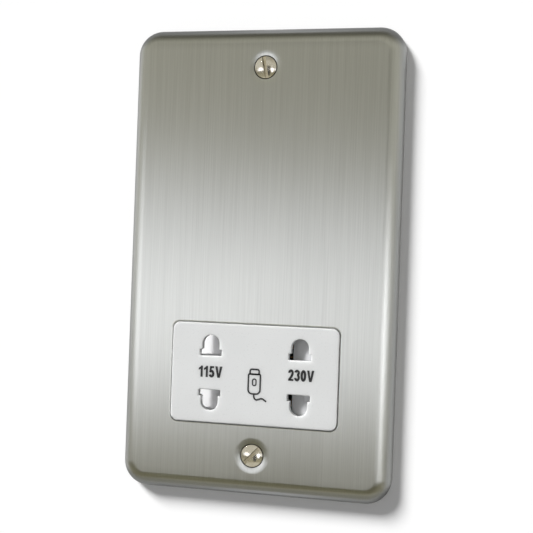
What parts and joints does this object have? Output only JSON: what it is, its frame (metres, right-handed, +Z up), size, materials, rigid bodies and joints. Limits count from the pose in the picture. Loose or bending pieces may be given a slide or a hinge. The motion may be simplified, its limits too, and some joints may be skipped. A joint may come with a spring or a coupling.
{
  "type": "shaver socket",
  "caption": "Wall shaver supply socket: brushed steel plate, white outlet face with keyhole apertures, sprung sliding shutter and isolating transformer behind.",
  "frame": {"origin": "centre of the face plate's rear rim, in the plane of the wall, midway between the two fixing screws", "axes": "+Z up along the plate's long side, +Y into the wall, +X to the right as one faces the plate"},
  "size_m": [0.086, 0.0453, 0.146],
  "materials": {
    "plate_steel": "vertical brushed stainless steel, satin",
    "screw_nickel": "nickel plated steel, bright",
    "zinc_steel": "zinc plated steel",
    "white_face": "white urea moulding, soft gloss",
    "housing_plastic": "off-white thermoplastic, fine matt texture",
    "shutter_plastic": "light grey acetal, glossy",
    "spring_wire": "drawn stainless spring wire",
    "carrier_plastic": "dark phenolic moulding",
    "contact_bronze": "phosphor bronze strip",
    "lamination": "varnished electrical steel laminations",
    "bobbin_nylon": "natural nylon",
    "winding_copper": "enamelled copper wire",
    "cutout_case": "black moulded case",
    "terminal_brass": "turned brass"
  },
  "bodies": {
    "socket": {"face_plate": "plate_steel", "fixing_screw_upper": "screw_nickel", "fixing_screw_lower": "screw_nickel", "plate_pillars": "zinc_steel", "pillar_screws": "zinc_steel", "front_moulding": "white_face", "rear_housing": "housing_plastic", "shutter_spring": "spring_wire", "contact_carrier": "carrier_plastic", "contact_115": "contact_bronze", "contact_230": "contact_bronze", "contact_common": "contact_bronze", "switch_rail_supply": "contact_bronze", "switch_rail_primary": "contact_bronze", "core_e_stack": "lamination", "core_i_stack": "lamination", "core_clamp": "zinc_steel", "bobbin": "bobbin_nylon", "primary_winding": "winding_copper", "secondary_winding": "winding_copper", "thermal_cutout": "cutout_case", "terminal_live": "terminal_brass", "terminal_neutral": "terminal_brass", "earth_terminal": "terminal_brass", "terminal_screws": "zinc_steel"},
    "shutter": {"shutter_slide": "shutter_plastic", "switch_bridge": "contact_bronze"}
  },
  "joints": [
    {"name": "shutter_travel", "type": "slide", "parent": "socket", "child": "shutter", "axis": [1, 0, 0], "range_m": [-0.0078, 0.0078], "stiffness_N_per_m": 120, "deforming": ["shutter_spring"]}
  ]
}
